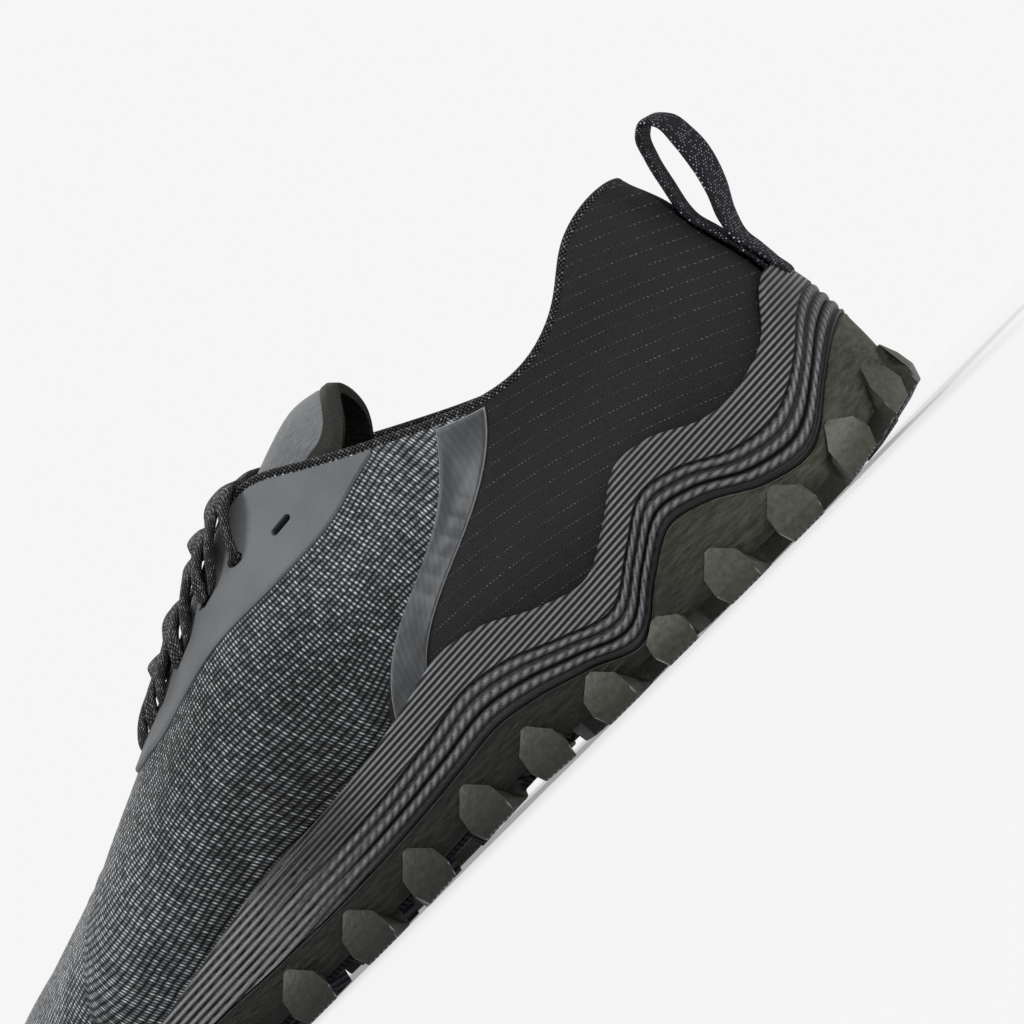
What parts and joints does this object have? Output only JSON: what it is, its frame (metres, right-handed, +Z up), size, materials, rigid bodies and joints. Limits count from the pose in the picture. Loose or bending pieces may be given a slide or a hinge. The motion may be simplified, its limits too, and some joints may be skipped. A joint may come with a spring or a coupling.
{
  "type": "trail running shoe",
  "caption": "Low trail running shoe for the left foot, with a deeply lugged rubber outsole, a wavy ribbed foam band, a knitted upper, a padded tongue and a heel pull loop.",
  "frame": {"origin": "on the floor, at the middle of the box round the shoe", "axes": "+X to the heel, -X to the toe, +Y to the inner side, +Z up"},
  "size_m": [0.3104, 0.1138, 0.1075],
  "materials": {
    "outsole_rubber": "matt, finely stippled, dark olive towards the heel",
    "tread_rubber": "matt blue-black with fine parallel ribs",
    "accent_rubber": "plain red",
    "midsole_foam": "near-black foam with rope-like ribs",
    "knit_upper": "chunky grey and black knit, ripstop at the heel",
    "insole_fabric": "dark brushed knit",
    "tongue_fabric": "grey padded mesh with a dark edge",
    "braided_binding": "black braid",
    "smooth_overlay": "matt grey microfibre",
    "clear_strap": "semi-clear welded film",
    "toe_film": "dark welded film",
    "loop_webbing": "black webbing flecked with pale yarn",
    "lace_cord": "dark braided cord"
  },
  "bodies": {
    "root": {"outsole": "outsole_rubber", "forefoot_tread": "tread_rubber", "midfoot_grip": "outsole_rubber", "tread_accent": "accent_rubber", "midsole": "midsole_foam", "upper": "knit_upper", "insole": "insole_fabric", "tongue": "tongue_fabric", "collar_binding": "braided_binding", "eyestay_lateral": "smooth_overlay", "eyestay_medial": "smooth_overlay", "strap_lateral": "clear_strap", "strap_medial": "clear_strap", "toe_cap": "toe_film", "pull_loop": "loop_webbing", "laces": "lace_cord"}
  },
  "joints": []
}
